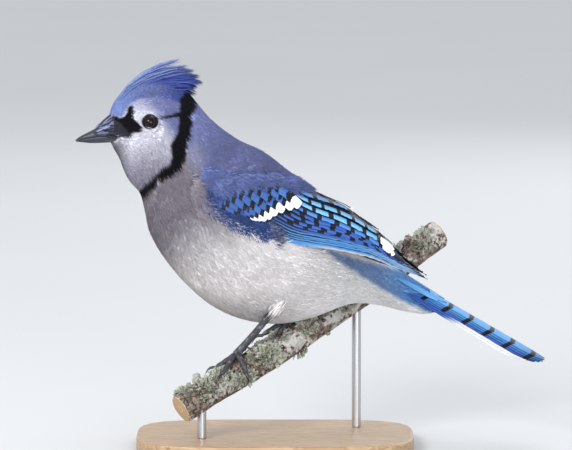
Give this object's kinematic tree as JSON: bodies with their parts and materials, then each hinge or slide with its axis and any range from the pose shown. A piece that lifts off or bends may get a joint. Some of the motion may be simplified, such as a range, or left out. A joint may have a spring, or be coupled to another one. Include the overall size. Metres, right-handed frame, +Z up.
{
  "type": "blue jay",
  "caption": "Life-size still model of a crested blue songbird with barred wings and tail, gripping a cut length of branch on a plain display stand.",
  "frame": {"origin": "centre of the underside of the stand's base", "axes": "+Z up; the bird faces -X, its tail points to +X, and its left side is towards -Y"},
  "size_m": [0.2539, 0.1062, 0.2107],
  "materials": {
    "pale_feather": "soft pale grey and white body feathers with black markings",
    "blue_feather": "blue flight feathers with black bars and white tips",
    "black_horn": "satin black horn",
    "dark_eye": "wet, almost black",
    "scaly_skin": "dark scaly skin",
    "bark": "rough bark with pale lichen",
    "stand_wood": "smooth pale wood",
    "stand_steel": "satin steel"
  },
  "bodies": {
    "root": {"bill_lower": "black_horn", "bill_upper": "black_horn", "claw_left_hind": "black_horn", "claw_left_inner": "black_horn", "claw_left_middle": "black_horn", "claw_left_outer": "black_horn", "claw_right_hind": "black_horn", "claw_right_inner": "black_horn", "claw_right_middle": "black_horn", "claw_right_outer": "black_horn", "eye_left": "dark_eye", "eye_right": "dark_eye", "foot_left": "scaly_skin", "foot_right": "scaly_skin", "head": "pale_feather", "leg_left": "scaly_skin", "leg_right": "scaly_skin", "neck": "pale_feather", "perch": "bark", "stand_base": "stand_wood", "stand_rod_back": "stand_steel", "stand_rod_front": "stand_steel", "tail": "blue_feather", "torso": "pale_feather", "wing_left": "blue_feather", "wing_right": "blue_feather"}
  },
  "joints": []
}
